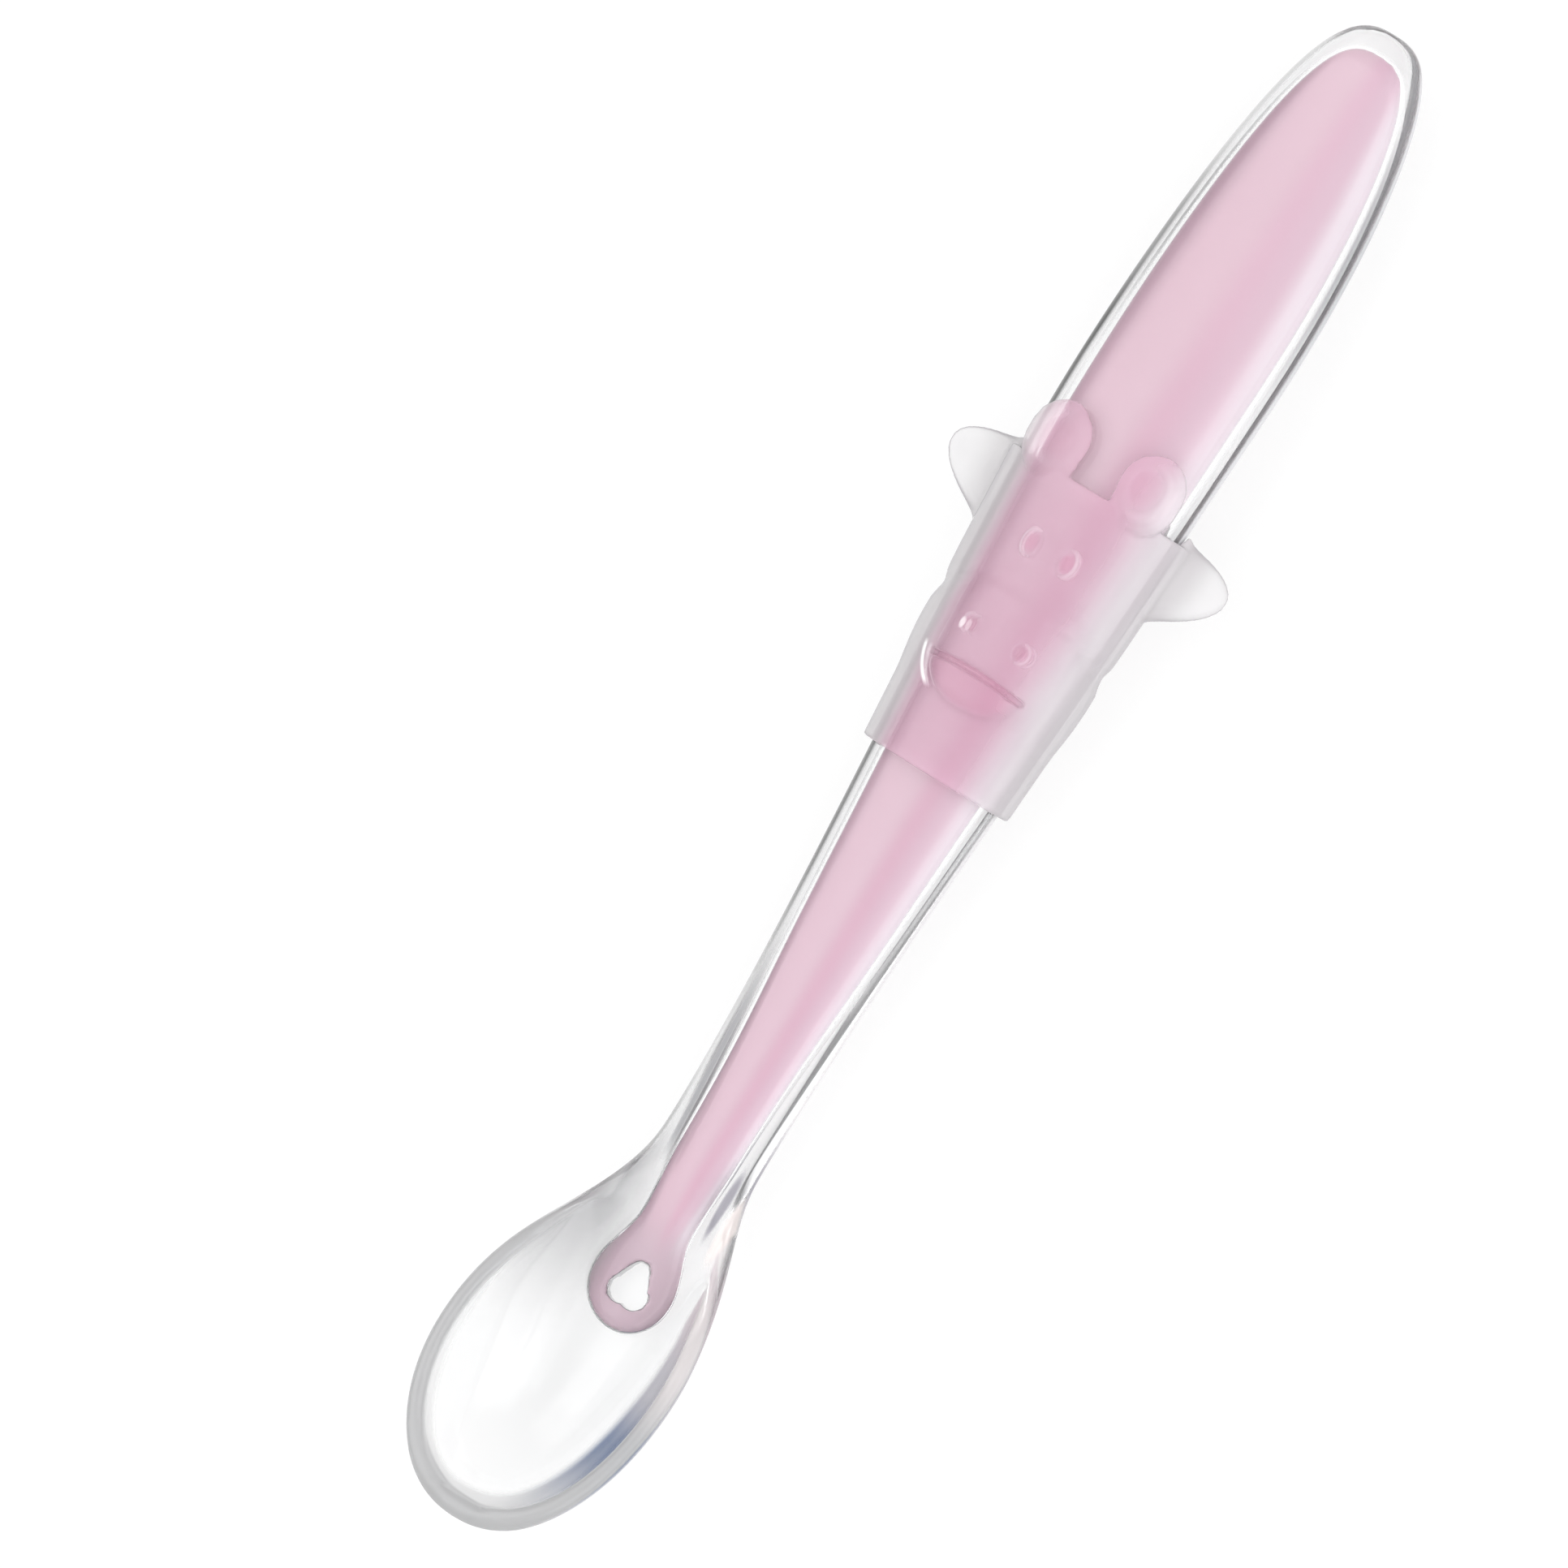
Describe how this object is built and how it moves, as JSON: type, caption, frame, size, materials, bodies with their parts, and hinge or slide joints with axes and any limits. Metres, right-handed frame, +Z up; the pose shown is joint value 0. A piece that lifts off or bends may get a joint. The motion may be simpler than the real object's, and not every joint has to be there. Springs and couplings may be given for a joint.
{
  "type": "baby spoon",
  "caption": "Soft clear baby spoon with a shallow oval bowl, a stiff pink core with a ring end in its tapered handle, and a soft translucent sleeve shaped as a calf's head.",
  "frame": {"origin": "middle of the bounding box, on the surface that the spoon lies on", "axes": "+X along the handle from the bowl to the handle's end, +Z up out of the open bowl, +Y across"},
  "size_m": [0.15, 0.0288, 0.0134],
  "materials": {
    "clear_silicone": "clear silicone rubber, glossy",
    "pink_plastic": "opaque pale pink plastic, smooth",
    "milky_silicone": "translucent milky silicone rubber, satin"
  },
  "bodies": {
    "spoon": {"clear_body": "clear_silicone", "handle_core": "pink_plastic"},
    "sleeve": {"face_sleeve": "milky_silicone"}
  },
  "joints": [
    {"name": "sleeve_slide", "type": "slide", "parent": "spoon", "child": "sleeve", "axis": [-0.9985, 0, -0.055], "range_m": [0, 0.042]}
  ]
}
